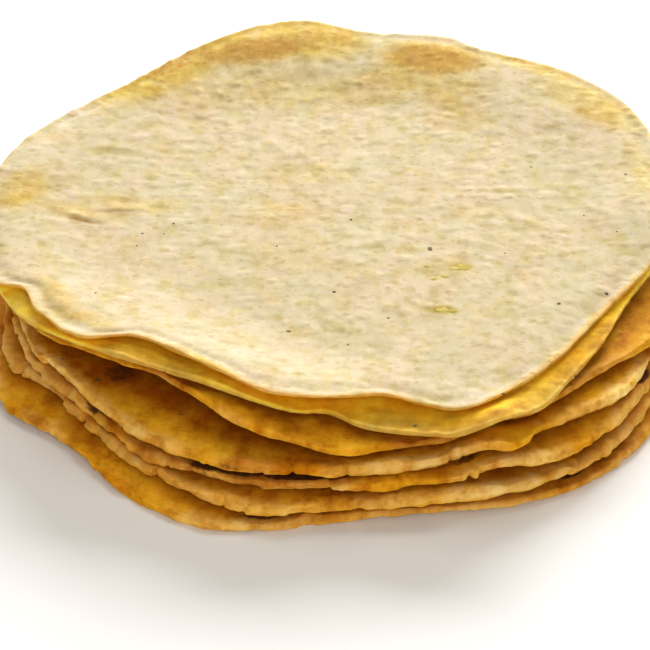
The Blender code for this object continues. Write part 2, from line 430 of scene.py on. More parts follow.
def crease_height(x, y):
    """Each crease's lip: a steep rise on its near side that falls away gently behind it."""
    total = np.zeros_like(x)
    wander = 0.9 * swell(x, y, 5.0, CREASE_SEED)
    for middle_x, middle_y, half, degrees, wide, rise in CREASES:
        along, across = turned(x, y, middle_x, middle_y, degrees)
        across = across - wander
        lip = ease(0.5 + across / 1.4) * ease(1.0 - across / (2.0 * wide))
        total = total + ease(1.5 - np.abs(along) / half) * rise * lip
    return total


# ---- a tortilla's rim and faces

# The rounding of a rim, as a share of its thickness, and how far in from it the thickness starts to change.
ROUND_SHARE = 0.36
THINNED_OVER = 4.5
TOPMOST_THINNED_OVER = 7.0

# Waves in an outline, a top face and an underside, as pairs of their height and their size.
OUTLINE_WAVES = ((0.30, 9.0), (0.26, 3.4), (0.16, 1.5))
TOP_WAVES = ((0.28, 8.0), (0.16, 3.2))
UNDER_WAVES = ((0.40, 9.0), (0.20, 3.0))

# How much is added to the strength of a lower rim's blocks at the left, where it is knobbly, and to that of
# any rim's waves at the front right, where it is calmer, as a bearing, a spread and how much.
GNARLED = ((206, 24, 1.1),)
CALMED = ((315, 55, -0.5),)

# The rim of the topmost tortilla: how wide and how strong its golden band is, how high its lip stands and
# how deep the hollow behind it is. Each has a plain value, and changes as bearing, spread and how much.
BAND_WIDTH = (0.6, ((317, 36, 1.0), (244, 22, 1.0), (108, 32, 2.0)))
BAND_STRENGTH = (0.42, ((317, 36, 0.06), (108, 32, 0.5)))
LIP_HEIGHT = (0.16, ((320, 40, 0.14),))
HOLLOW_DEPTH = (0.08, ((212, 22, 0.30), (244, 18, 0.20), (320, 40, 0.04)))

# Where the topmost tortilla sinks: its bearing and spread, how deep, and how far in from the rim it starts.
SINKING = ((320, 38, 0.5, 12.0), (246, 20, 0.30, 2.6))

# The least air left under a rim that hangs down, how far an outline is drawn in to stay within the CAD's, and
# how far from a crack a block starts to ease to nothing.
LEAST_AIR = 0.45
DRAWN_IN = 0.25
BLOCK_EASE = 0.9

# How square the section of a rim is: the lower these powers, the flatter its side and its edges.
SIDE_POWER = 0.6
EDGE_POWER = 0.8


def rim_round(level):
    """How far in from the rim its rounding starts."""
    return ROUND_SHARE * BAKES[level].rim_thickness


def rim_blocks(level, bearing):
    """What the cracks make of a rim: how deep the crack is here, and how far its block stands out and up.

    A block has one value from crack to crack, and it eases to nothing at both of its cracks.
    """
    places = np.sort(drawn(np.arange(BAKES[level].cracks), level, CRACK_SEED)) * 360.0
    if len(places) == 0:
        return np.zeros_like(bearing), np.zeros_like(bearing), np.zeros_like(bearing)
    before = (np.searchsorted(places, bearing) - 1) % len(places)
    after = (before + 1) % len(places)
    from_before = (bearing - places[before]) % 360.0
    to_after = (places[after] - bearing) % 360.0
    near = np.minimum(from_before, to_after) * (math.pi * STACK[level].radius / 180.0)
    nearest = np.where(from_before < to_after, before, after)
    depth = 0.1 + 0.9 * drawn(nearest, level, BLOCK_SEED) ** 2
    width = 0.25 + 0.5 * drawn(nearest, level, BLOCK_SEED + 1)
    crack = depth * np.exp(-((near / width) ** 2))
    body = ease(near / BLOCK_EASE)
    out = (2.0 * drawn(before, level, BLOCK_SEED + 3) - 1.0) ** 3 * body
    up = (2.0 * drawn(before, level, BLOCK_SEED + 6) - 1.0) * body
    return crack, out, up


def gnarled(level, bearing):
    """How strong the blocks of a rim are: 1, and more where a lower rim is knobbly."""
    return varied(bearing, 1.0, GNARLED if 0 < level < THIRD else ())


def calmed(level, bearing):
    """How strong the waves of a rim are: as crumbly as it is, and less where it is calmer."""
    return BAKES[level].crumble * varied(bearing, 1.0, CALMED)


def reach_of(level, bearing):
    """The distance from a tortilla's middle to its rim, with its crumbly waves, blocks and cracks."""
    tortilla = STACK[level]
    reach = outline(tortilla, bearing)
    x, y = place_at(tortilla, bearing, reach)
    crack, out, _ = rim_blocks(level, bearing)
    blocks = BAKES[level].crumble * gnarled(level, bearing) * (0.8 * out - 0.6 * crack)
    waved = calmed(level, bearing) * waves(x, y, OUTLINE_WAVES, RIM_SEED + 7 * level, 1)
    return reach + waved + blocks - DRAWN_IN


def edge_reach(level, bearing, below, depth):
    """The reach of the rim's top edge (below 0), of its bottom edge (1) or between them.

    The rim leans in or out on its way round, and the lean dies away within a few millimetres.
    """
    arc = np.radians(bearing) * STACK[level].radius
    lean = 0.5 * calmed(level, bearing) * swell(arc, arc * 0.0, 6.5, LEAN_SEED + level)
    return reach_of(level, bearing) + lean * (1.0 - 2.0 * below) * ease(1.0 - depth / 4.0)


def face_lumps(level, x, y):
    """The small relief of a top face, in mm: low swells, flakes of skin, a few crumbs of meal and pits.

    The flakes stand higher towards the back and come in clusters.
    """
    seed = FACE_SEED + 20 * level
    low = 0.14 * rough(x, y, 11.0, seed, 2) + 0.02 * rough(1.2 * x, 0.85 * y, 4.6, seed + 3, 2)
    skin = 0.15 * flakes(x, y, 4.4, 0.40, seed + 6) + 0.05 * flakes(x, y, 2.7, 0.45, seed + 11)
    higher = 0.8 + 0.7 * ease((y - 25.0) / 40.0)
    clusters = 0.45 + 0.9 * ease(0.5 + 1.8 * rough(x, y, 13.0, seed + 30, 2))
    meal = 0.13 * crumbs(x, y, 2.8, 0.42, seed + 21)
    pits = -0.12 * spots(x, y, 6.0, 0.3, seed + 16)
    return low + skin * higher * clusters + meal + pits


def thinned(level, inside):
    """How far the change of a tortilla's thickness has come: 0 on the face and 1 at the rim."""
    return ease(1.0 - inside / (TOPMOST_THINNED_OVER if level == TOPMOST else THINNED_OVER))


def turned_down(inside, bearing):
    """How far the topmost tortilla sinks towards its rim: gently at the right, and at its edge in front."""
    return sum(
        deep * bell(bearing, middle, spread) * ease(1.0 - inside / over)
        for middle, spread, deep, over in SINKING
    )


def lip_band(inside, bearing):
    """How golden the bent-down rim of the topmost tortilla is: a band, broadest where it bends the most."""
    return varied(bearing, *BAND_STRENGTH) * ease(1.4 - inside / varied(bearing, *BAND_WIDTH))


def curled_lip(inside, bearing):
    """The rim of the topmost tortilla: a low lip at the edge, and a hollow behind it, deepest at the left."""
    lip = varied(bearing, *LIP_HEIGHT) * np.exp(-(((inside - 0.8) / 0.7) ** 2))
    return lip - varied(bearing, *HOLLOW_DEPTH) * np.exp(-(((inside - 3.0) / 1.3) ** 2))


def top_height(level, x, y, inside, bearing):
    """The height of a top face: where it lies, its thickness, which changes at the rim, and its relief."""
    bake = BAKES[level]
    near_rim = thinned(level, inside)
    crack, _, up = rim_blocks(level, bearing)
    height = lie(level, x, y) + THICKNESS + 0.5 * (bake.rim_thickness - THICKNESS) * near_rim
    height = height + bake.crumble * near_rim * waves(x, y, TOP_WAVES, TOP_SEED + level, 10)
    height = height + face_lumps(level, x, y) * (1.0 + 0.3 * near_rim)
    blocks = gnarled(level, bearing) * ease(1.0 - inside / 3.0) * (0.3 * up - 0.35 * crack)
    height = height + bake.crumble * blocks
    if level == TOPMOST:
        height = height + crease_height(x, y) + curled_lip(inside, bearing) - turned_down(inside, bearing)
    return height


def under_height(level, x, y, inside, bearing):
    """The height of an underside: where it lies, less how far its rim hangs towards the one below."""
    bake = BAKES[level]
    near_rim = thinned(level, inside)
    waved = bake.crumble * waves(x, y, UNDER_WAVES, UNDER_SEED + level, 10)
    hang = varied(bearing, 0.5 * (bake.rim_thickness - THICKNESS) + waved, bake.swellings)
    if level == TOPMOST:
        hang = hang + turned_down(inside, bearing) / np.maximum(near_rim, 0.2)
    hang = np.minimum(near_rim * hang, clearance(STACK[level], x, y) - (LEAST_AIR if level else 0.0))
    return lie(level, x, y) - hang + 0.08 * crumbs(x, y, 3.0, 0.5, BENEATH_SEED + level)


# ---- the meshes

# How a face's rings are laid out. The steps between them start at the first number and grow by the second
# for each millimetre further in. The number of points around is halved past each of the depths.
Layout = namedtuple("Layout", "around step growth halve_at")

LOWER_LAYOUTS = (Layout(1440, 0.36, 0.050, (8.0, 24.0, 50.0)), Layout(1440, 0.60, 0.060, (0.5, 14.0, 40.0)))
TOPMOST_LAYOUTS = (Layout(1200, 0.64, 0.0, (9.0, 47.0, 62.0)), Layout(1200, 0.70, 0.040, (0.5, 25.0, 55.0)))

# The steps on the way round a rim, and how near the middle the last ring may lie.
RIM_STEPS = 12
LAST_RING = 0.8


def ring_depths(layout, radius):
    """The distances in from the rim at which the rings lie, each with the number of points on it."""
    rings = []
    depth = layout.step
    while depth < radius - LAST_RING:
        rings.append((depth, layout.around >> sum(depth > limit for limit in layout.halve_at)))
        depth += layout.step + layout.growth * depth
    return rings


def bearings(count):
    """The bearings of a ring's points."""
    return np.arange(count) * 360.0 / count


def face_ring(level, depth, count, is_top):
    """The points of one ring on a face, drawn in from the rim by depth, and how far inside it they lie."""
    tortilla = STACK[level]
    bearing = bearings(count)
    edge = edge_reach(level, bearing, 0.0 if is_top else 1.0, depth)
    x, y = place_at(tortilla, bearing, (edge - rim_round(level)) * (1.0 - depth / tortilla.radius))
    inside = np.full_like(x, depth + rim_round(level))
    height = top_height if is_top else under_height
    return np.stack([x, y, height(level, x, y, inside, bearing)], axis=1), inside


def rim_ring(level, angle, count):
    """The points of one ring round the rim, where the angle goes from 0 at the top to pi beneath.

    The rim's section is squarer than a half circle, and thin flakes stand out of it and in.
    """
    tortilla = STACK[level]
    bearing = bearings(count)
    stands = abs(math.sin(angle)) ** SIDE_POWER
    below = 0.5 - 0.5 * math.copysign(abs(math.cos(angle)) ** EDGE_POWER, math.cos(angle))
    inside = np.full_like(bearing, rim_round(level))
    heights = []
    for side, height in ((0.0, top_height), (1.0, under_height)):
        x, y = place_at(tortilla, bearing, edge_reach(level, bearing, side, 0.0) - inside)
        heights.append(height(level, x, y, inside, bearing))
    z = heights[0] + (heights[1] - heights[0]) * below
    arc = np.radians(bearing) * tortilla.radius
    torn = 0.30 * swell(arc, z * 4.0, 2.8, EDGE_SEED + level)
    torn = torn + 0.14 * swell(arc, z * 2.0, 1.0, EDGE_SEED + 10 + level)
    reach = edge_reach(level, bearing, below, 0.0) - inside * (1.0 - stands)
    x, y = place_at(tortilla, bearing, reach + BAKES[level].crumble * torn * math.sin(angle))
    return np.stack([x, y, z], axis=1), inside * (1.0 - math.sin(angle))


def rings_of(level):
    """Every ring of a tortilla, from the middle of its top, over its rim, to the middle beneath.

    Each is its points, how far inside the rim they lie, and how much they belong to the top (1), the rim
    or the underside (0).
    """
    top, under = TOPMOST_LAYOUTS if level == TOPMOST else LOWER_LAYOUTS
    radius = STACK[level].radius
    for depth, count in reversed(ring_depths(top, radius)):
        yield *face_ring(level, depth, count, True), 1.0
    for angle in np.linspace(0.0, np.pi, RIM_STEPS + 1):
        yield *rim_ring(level, float(angle), top.around), 0.5 + 0.5 * math.cos(angle)
    for depth, count in ring_depths(under, radius):
        yield *face_ring(level, depth, count, False), 0.0


def band_faces(outer, inner):
    """Four-cornered faces between two closed rings with as many points, the outer one first."""
    return np.stack([outer, np.roll(outer, -1), np.roll(inner, -1), inner], axis=1)


def halving_faces(outer, inner):
    """Triangles between a closed ring and one with half as many points."""
    even, odd = outer[0::2], outer[1::2]
    after, inner_after = np.roll(even, -1), np.roll(inner, -1)
    fans = ((even, odd, inner), (odd, inner_after, inner), (odd, after, inner_after))
    return np.concatenate([np.stack(fan, axis=1) for fan in fans])


def fan_faces(ring, middle):
    """Triangles between a closed ring and one point."""
    return np.stack([ring, np.roll(ring, -1), np.full_like(ring, middle)], axis=1)


def build_tortilla(level):
    """A closed tortilla: its points, how far inside the rim and how much on top each is, and its faces."""
    rings = list(rings_of(level))
    tortilla = STACK[level]
    x, y = (np.array([place]) for place in tortilla.centre)
    inside = np.array([tortilla.radius])
    for height, upward in ((top_height, 1.0), (under_height, 0.0)):
        rings.append((np.stack([x, y, height(level, x, y, inside, x * 0)], axis=1), inside, upward))
    points, inside = (np.concatenate([ring[i] for ring in rings]) for i in (0, 1))
    upward = np.concatenate([np.full(len(ring[0]), ring[2]) for ring in rings])

    starts = np.cumsum([0] + [len(ring[0]) for ring in rings])
    *numbers, crown, base = [np.arange(start, end) for start, end in zip(starts, starts[1:])]
    quads = []
    triangles = [fan_faces(numbers[0], crown[0])]
    for upper, lower in zip(numbers, numbers[1:]):
        if len(upper) == len(lower):
            quads.append(band_faces(lower, upper))
        elif len(lower) > len(upper):
            triangles.append(halving_faces(lower, upper))
        else:
            triangles.append(halving_faces(upper, lower)[:, ::-1])
    triangles.append(fan_faces(numbers[-1], base[0])[:, ::-1])
    return points, inside, upward, np.concatenate(quads), np.concatenate(triangles)


def add_mesh(name, points, quads, triangles):
    """An object from arrays of points, four-cornered faces and triangles, smoothly shaded."""
    mesh = bpy.data.meshes.new(name)
    loops = np.concatenate([quads.ravel(), triangles.ravel()]).astype(np.int32)
    starts = np.concatenate([np.arange(len(quads)) * 4, len(quads) * 4 + np.arange(len(triangles)) * 3])
    mesh.vertices.add(len(points))
    mesh.vertices.foreach_set("co", (points * MM).astype(np.float32).ravel())
    mesh.loops.add(len(loops))
    mesh.loops.foreach_set("vertex_index", loops)
    mesh.polygons.add(len(quads) + len(triangles))
    mesh.polygons.foreach_set("loop_start", starts.astype(np.int32))
    mesh.update(calc_edges=True)
    mesh.validate()
    mesh.shade_smooth()
    piece = bpy.data.objects.new(name, mesh)
    bpy.context.scene.collection.objects.link(piece)
    return piece


# ---- the masks of a tortilla

# Where painted shade darkens the lit face of the third from the top, and where the topmost one's golden band
# gets no painted glow, as a bearing and a spread.
SHADED_STRIP = (340, 28)
BAND_WITHOUT_GLOW = (105, 75)


def covered_by(level, x, y):
    """How far in under the rim of the tortilla above each point lies, in mm, or out from it (below 0)."""
    way_out, bearing = polar(STACK[level + 1], x, y)
    return outline(STACK[level + 1], bearing) - way_out


def pale_mask(level, x, y, bearing, upward, edge):
    """How pale: the rim where the griddle never touched it, all of the topmost face, and a patch of painted
    light.
    """
    bake = BAKES[level]
    rim_pale = 0.42 * ease(0.3 + 1.6 * rough(x, y, 9.0, RIM_PALE_SEED + level, 2))
    for middle, spread, strength in bake.pale_stretches:
        rim_pale = np.maximum(rim_pale, strength * bell(bearing, middle, spread) ** 0.5)
    if level >= SECOND:
        rim_pale = 1.0
    pale = np.maximum(bake.cream, bake.rim_cream * rim_pale * edge)
    pale = np.maximum(pale, mark_cover(PAINTED_LIGHT_PATCHES, level, x, y))
    return pale * ease(2.2 * upward - 0.9 if level == TOPMOST else 2.1 * upward)


def shade_and_glow_mask(level, x, y, upward, inside, stray, shaded_strip):
    """Where shade or glow is painted: the underside, and what lies under the tortilla above or just out from
    it.
    """
    # Lower tortillas take this mask as painted shade, and the top two as painted glow.
    damp = ease(inside / 7.0) * (1.0 - upward)
    if level == TOPMOST:
        return damp
    covered = covered_by(level, x, y)
    outside = BAKES[level].damp_outside
    damp = np.maximum(damp, upward * ease((covered + outside * stray) / (1.6 * outside)))
    # The strip of the third from the top is darkened here as painted shade.
    return damp * (1.0 - shaded_strip) + shaded_strip * (0.32 + 0.25 * ease(1.5 + covered / 6.0))


def paint_masks(piece, level, points, inside, upward):
    """Puts a tortilla's masks on its mesh, one number for each point, which its material reads by name."""
    x, y = points[:, 0], points[:, 1]
    _, bearing = polar(STACK[level], x, y)
    on_top = ease(2.0 * upward)
    stray = 1.0 + 0.45 * rough(x, y, 5.0, STRAY_SEED + level, 2)
    edge = ease(1.25 - inside / (BAKES[level].pale_over * stray))
    # On the third from the top, a strip at the right that lies in the light gets painted shade and olive
    # tint.
    shaded_strip = bell(bearing, *SHADED_STRIP) ** 0.5 * upward if level == THIRD else 0.0 * upward
    damp = shade_and_glow_mask(level, x, y, upward, inside, stray, shaded_strip)
    blotched = 1.0 + 0.45 * rough(x, y, 4.0, GOLDEN_SEED, 3)
    golden = np.clip(mark_cover(GOLDEN, level, x, y) * blotched, 0.0, 1.0)
    if level == TOPMOST:
        band = lip_band(inside, bearing)
        golden = np.maximum(golden, upward * band)
        # The topmost tortilla's golden band, but for its back, and its underside get painted glow.
        damp = np.maximum(damp, upward * np.where(bell(bearing, *BAND_WITHOUT_GLOW) > 0.0, 0.0, 0.55 * band))
        damp = np.maximum(damp, 0.8 * (1.0 - upward))
    toast_and_shade = mark_cover(TOAST_AND_SHADE, level, x, y) * on_top
    if level == SECOND:
        toast_and_shade = toast_and_shade * (1.0 - damp)
    if level < SECOND:
        blotch = ease(rough(x, y, 7.0, BLOTCH_SEED + level, 3) * 2.2 - 0.6)
        toast_and_shade = np.maximum(toast_and_shade, 0.36 * blotch * on_top)
        toast_and_shade = np.maximum(toast_and_shade, 0.75 * spots(x, y, 5.0, 0.22, BURN_SEED + level) * edge)
    masks = {
        "pale": pale_mask(level, x, y, bearing, upward, edge) * (1.0 - golden),
        "damp": damp,
        "toast_and_shade": toast_and_shade,
        "scorch": mark_cover(SCORCH, level, x, y) * on_top,
        # The olive tint also carries the third from the top's strip of painted shade.
        "olive": np.maximum(mark_cover(OLIVE, level, x, y) * upward, shaded_strip),
        "raised": 0.5 + 2.0 * face_lumps(level, x, y) * upward,
    }
    for name, values in masks.items():
        mask = piece.data.attributes.new(name, "FLOAT", "POINT")
        mask.data.foreach_set("value", np.clip(values, 0.0, 1.0).astype(np.float32))


# ---- flecks on the faces

# Flecks that stick in a face: the level, the middle, how far one reaches from there, and how long it is
# for its width.
CHARRED_SPECKS = (
    (6, 22, -1, 0.80, 0.8), (6, 50, -23, 0.60, 0.8), (6, 4, 11, 0.42, 1.0), (6, 39, -3, 0.32, 1.0),
    (6, 0, -18, 0.46, 1.0), (6, 47, 33, 0.28, 1.0), (6, -10, -33, 0.36, 1.6), (6, -53, -21, 0.32, 0.7),
    (6, 3, -38, 0.25, 1.0), (6, 61, -19, 0.40, 1.3), (6, 69, 28, 0.30, 1.5), (6, -13, 0, 0.28, 1.0),
    (6, 36, -57, 0.35, 1.2), (6, -37, 9, 0.28, 1.0), (6, -44, 5, 0.28, 1.2), (6, -39, 5, 0.22, 1.0),
    (6, -45, 0, 0.25, 1.0), (6, 58, 12, 0.25, 1.0), (6, 65, 4, 0.22, 1.0), (6, 12, -28, 0.25, 1.6),
    (5, 17, -64.5, 0.40, 1.4), (5, 52, -48, 0.30, 1.0), (3, -52, -40, 0.40, 1.5), (3, -33, -52, 0.35, 1.0),
    (3, -60, -33, 0.40, 1.3),
)
HULL_SCRAPS = (
    (6, 29.5, -8.2, 1.3, 1.3), (6, 27.2, -8.8, 1.0, 1.4), (6, 24, -25, 1.1, 1.8),
    (6, 26.4, -25.4, 0.9, 1.2), (6, 25, -12, 0.8, 1.5), (6, 22.6, -13, 0.8, 1.2), (6, 21, -8, 0.6, 1.3),
)

# The corners of a fleck's outline, and its rings: how far out each lies, as a share of the fleck's reach, how
# far above the face, as a share of its rise, and how far beneath it. The last one closes the dome.
FLECK_CORNERS = 10
FLECK_RINGS = ((1.0, 0.0, 0.06), (0.65, 0.7, 0.0), (0.0, 1.0, 0.0), (0.0, 0.0, 0.3))


def resting_height(level, x, y):
    """The height of a top face under any point, with its distance in from the rim worked out."""
    tortilla = STACK[level]
    way_out, bearing = polar(tortilla, x, y)
    bearing = bearing % 360.0
    return top_height(level, x, y, outline(tortilla, bearing) - way_out, bearing)


def build_flecks(flecks, rise):
    """Low closed domes, one for each fleck, whose outlines are ovals with corners that stray in and out."""
    number, corner = np.meshgrid(np.arange(len(flecks)), np.arange(FLECK_CORNERS), indexing="ij")
    middle_x, middle_y, half, longer = np.array([fleck[1:] for fleck in flecks]).T[:, :, None]
    around = 2.0 * math.pi * corner / FLECK_CORNERS
    reach = half * (0.7 + 0.6 * scramble(number, corner, OVAL_SEED))
    rings = []
    for share, above, beneath in FLECK_RINGS:
        x = middle_x + share * reach * longer * np.cos(around)
        y = middle_y + share * reach * np.sin(around)
        z = np.stack([resting_height(fleck[0], x[i], y[i]) for i, fleck in enumerate(flecks)])
        rings.append(np.stack([x, y, z + above * rise - beneath], axis=2))
    points = np.concatenate([rings[0], rings[1], rings[2][:, :1], rings[3][:, :1]], axis=1)
    first = number * points.shape[1]
    outer = corner + first
    after = (corner + 1) % FLECK_CORNERS + first
    top = 2 * FLECK_CORNERS + first
    quads = np.stack([outer, after, after + FLECK_CORNERS, outer + FLECK_CORNERS], axis=2).reshape(-1, 4)
    caps = np.stack([outer + FLECK_CORNERS, after + FLECK_CORNERS, top], axis=2).reshape(-1, 3)
    bases = np.stack([after, outer, top + 1], axis=2).reshape(-1, 3)
    return points.reshape(-1, 3), quads, np.concatenate([caps, bases])


# ---- shader node helpers

SOCKET_KINDS = {"F": "NodeSocketFloat", "V": "NodeSocketVector", "C": "NodeSocketColor"}


def feed(tree, socket, value):
    """Joins a socket to another, or sets it to a number or a colour."""
    if isinstance(value, bpy.types.NodeSocket):
        tree.links.new(value, socket)
    elif isinstance(value, tuple):
        socket.default_value = (*value, 1.0) if len(socket.default_value) == 4 else value
    else:
        socket.default_value = value


def add_node(tree, kind, values, **settings):
    """A node with its settings, and with values fed to its sockets by name or number."""
    node = tree.nodes.new("ShaderNode" + kind)
    for setting, value in settings.items():
        setattr(node, setting, value)
    for socket, value in values.items():
        feed(tree, node.inputs[socket], value)
    return node


def maths(tree, operation, *values, clamp=False):
    """A Math node over up to three values."""
    return add_node(tree, "Math", dict(enumerate(values)), operation=operation, use_clamp=clamp).outputs[0]


def times(tree, first, second):
    """One value times another."""
    return maths(tree, "MULTIPLY", first, second)


def weighted(tree, start, *pairs):
    """A start value, and each further value times its weight."""
    for value, weight in pairs:
        start = maths(tree, "MULTIPLY_ADD", value, weight, start)
    return start


def between(tree, value, low, high):
    """0 below low, 1 above high, and a smooth S between them."""
    values = {"Value": value, "From Min": low, "From Max": high}
    return add_node(tree, "MapRange", values, interpolation_type="SMOOTHSTEP").outputs["Result"]


def mixed(tree, share, first, second, blend="MIX"):
    """A colour between two colours."""
    values = {0: share, 6: first, 7: second}
    return add_node(tree, "Mix", values, data_type="RGBA", blend_type=blend).outputs[2]


def tinted(tree, share, colour, tint):
    """A colour that is multiplied by a tint, as far as the share says."""
    return mixed(tree, share, colour, tint, "MULTIPLY")


def noise(tree, place, size, detail, coarseness=0.55):
    """A node of noise from 0 to 1 with swells about size millimetres across."""
    values = {"Vector": place, "Scale": 1.0 / (size * MM), "Detail": detail, "Roughness": coarseness}
    return add_node(tree, "TexNoise", values).outputs["Fac"]


def cells(tree, place, size):
    """Scattered cells about size millimetres apart: the distance to each one's middle, and its own number."""
    values = {"Vector": place, "Scale": 1.0 / (size * MM)}
    node = add_node(tree, "TexVoronoi", values, voronoi_dimensions="2D")
    number = add_node(tree, "SeparateColor", {0: node.outputs["Color"]}).outputs[0]
    return node.outputs["Distance"], number


def stirred(tree, place, size, amount):
    """The place moved about by up to an amount, both in millimetres, with swells of a given size."""
    values = {"Vector": place, "Scale": 1.0 / (size * MM), "Detail": 2.0}
    shift = add_node(tree, "TexNoise", values).outputs["Color"]
    values = {0: shift, 1: (amount * MM,) * 3, 2: place}
    return add_node(tree, "VectorMath", values, operation="MULTIPLY_ADD").outputs[0]


def new_group(name, inputs, outputs):
    """An empty node group, whose sockets are given as their names under F, V or C for their kind."""
    tree = bpy.data.node_groups.new(name, "ShaderNodeTree")
    for side, sockets in (("INPUT", inputs), ("OUTPUT", outputs)):
        for kind, labels in sockets.items():
            for label in labels:
                tree.interface.new_socket(label, in_out=side, socket_type=SOCKET_KINDS[kind])
    start = tree.nodes.new("NodeGroupInput")
    end = tree.nodes.new("NodeGroupOutput")
    return tree, start.outputs, end.inputs


def use_group(tree, group, values):
    """Places a node group in a material with its own values, and returns its outputs."""
    return add_node(tree, "Group", values, node_tree=group).outputs


# ---- the effects that the masa is made of

# What multiplies the masa's colour in dashes, as painted shade in their pits, in yellowed clouds, and in
# olive and griddle-brown marks, some of which are painted shade, and the colour of a scorch.
DASH_SHADE_TINT = (0.89, 0.85, 0.70)
YELLOW_TINT = (0.97, 0.945, 0.77)
OLIVE_TINT = (0.80, 0.80, 0.55)
TOAST_AND_SHADE_TINT = (0.80, 0.61, 0.32)
SCORCH_COLOUR = (0.075, 0.022, 0.004)

# The lattices of dashes: how each is turned, how far apart its cells are, how rare its dashes are and how
# far it is shifted. All are drawn out sideways by the same scale.
DASH_LATTICES = ((0.14, 3.6, 0.62, 0.0), (-0.20, 2.4, 0.62, 0.37), (0.05, 1.5, 0.66, 0.71))
DASH_SCALE = (0.66, 1.30, 1.0)


def masa_mottle():
    """The uneven colour of baked masa: dark, middle and light, darker in hollows as painted shade, with
    tinted clouds.
    """
    inputs = {"V": ("Place",), "F": ("Raised", "Dashes", "Cloud share")}
    inputs["C"] = ("Light", "Middle", "Dark", "Cloud")
    tree, given, out = new_group("masa_mottle", inputs, {"C": ("Colour",)})
    place = given["Place"]
    coarse = noise(tree, place, 5.0, 4.0, 0.62)
    fine = noise(tree, place, 0.9, 2.0, 0.6)
    # Raised lumps come out lighter and hollows darker: painted light and shade that follow the relief.
    level = weighted(tree, -0.05, (coarse, 0.88), (fine, 0.12), (given["Raised"], 0.10))
    darker = mixed(tree, between(tree, level, 0.34, 0.52), given["Dark"], given["Middle"])
    colour = mixed(tree, between(tree, level, 0.50, 0.66), darker, given["Light"])
    cloud = times(tree, between(tree, noise(tree, place, 13.0, 2.0), 0.38, 0.66), given["Cloud share"])
    yellow = times(tree, between(tree, noise(tree, place, 6.0, 3.0), 0.52, 0.62), 0.9)
    # The dashes are darkened as painted shade; the bump also sinks them.
    colour = tinted(tree, given["Dashes"], colour, DASH_SHADE_TINT)
    colour = tinted(tree, cloud, colour, given["Cloud"])
    tree.links.new(tinted(tree, yellow, colour, YELLOW_TINT), out["Colour"])
    return tree


def broken_up(tree, mask, grain, amount, low, high):
    """A mask whose edge is broken up by grain, and that stays empty where there was no mask."""
    rugged = between(tree, weighted(tree, mask, (grain, amount)), low, high)
    return times(tree, rugged, between(tree, mask, 0.0, 0.25))


def griddle_marks():
    """Browning and painted shade and glow over a colour: each mask's edge, broken up by noise, tints it."""
    inputs = {"V": ("Place",), "F": ("Toast_and_shade", "Scorch", "Olive", "Damp"), "C": ("Colour", "Damp tint")}
    tree, given, out = new_group("griddle_marks", inputs, {"C": ("Colour",)})
    grain = maths(tree, "SUBTRACT", noise(tree, given["Place"], 1.6, 4.0, 0.65), 0.5)
    toast_and_shade = broken_up(tree, given["Toast_and_shade"], grain, 1.1, 0.05, 0.85)
    scorch = broken_up(tree, given["Scorch"], grain, 1.0, 0.15, 0.80)
    colour = tinted(tree, given["Olive"], given["Colour"], OLIVE_TINT)
    colour = tinted(tree, toast_and_shade, colour, TOAST_AND_SHADE_TINT)
    colour = tinted(tree, given["Damp"], colour, given["Damp tint"])
    tree.links.new(mixed(tree, scorch, colour, SCORCH_COLOUR), out["Colour"])
    return tree


def skin_dashes():
    """Thin dashes where the skin has pulled apart: ovals in some of the cells of three long lattices."""
    tree, given, out = new_group("skin_dashes", {"V": ("Place",)}, {"F": ("Dashes",)})
    total = 0.0
    place = stirred(tree, given["Place"], 2.2, 1.6)
    for turn, size, rarest, shift in DASH_LATTICES:
        values = {"Vector": place, "Scale": DASH_SCALE}
        values.update(Location=(shift, shift, 0.0), Rotation=(0.0, 0.0, turn))
        away, chosen = cells(tree, add_node(tree, "Mapping", values).outputs["Vector"], size)
        dash = times(tree, between(tree, away, 0.46, 0.08), between(tree, chosen, rarest, 1.0))
        total = maths(tree, "ADD", dash, total, clamp=True)
    tree.links.new(total, out["Dashes"])
    return tree


def meal_grain():
    """The grain of ground maize as a height: fine grit and larger lumps, less shallow pores and dashes."""
    tree, given, out = new_group("meal_grain", {"V": ("Place",), "F": ("Dashes",)}, {"F": ("Height",)})
    place = given["Place"]
    grit = noise(tree, place, 0.55, 2.0, 0.6)
    lumps = noise(tree, place, 1.5, 3.0)
    away, chosen = cells(tree, place, 1.9)
    pore = times(tree, between(tree, away, 0.30, 0.05), between(tree, chosen, 0.55, 0.60))
    height = weighted(tree, 0.0, (grit, 0.30), (lumps, 0.50), (pore, -0.35), (given["Dashes"], -0.7))
    tree.links.new(height, out["Height"])
    return tree


# ---- the materials

# The look of one tortilla's masa. Light, middle and dark are each the colour of its golden parts and of its
# pale parts. Cloud multiplies them, and so does the tint of painted shade (lower tortillas) or painted glow
# (top two). Grain is how strong its bump is, reach how many millimetres light goes into it, and sheen how
# much it mirrors.
Masa = namedtuple("Masa", "light middle dark cloud damp grain reach sheen")

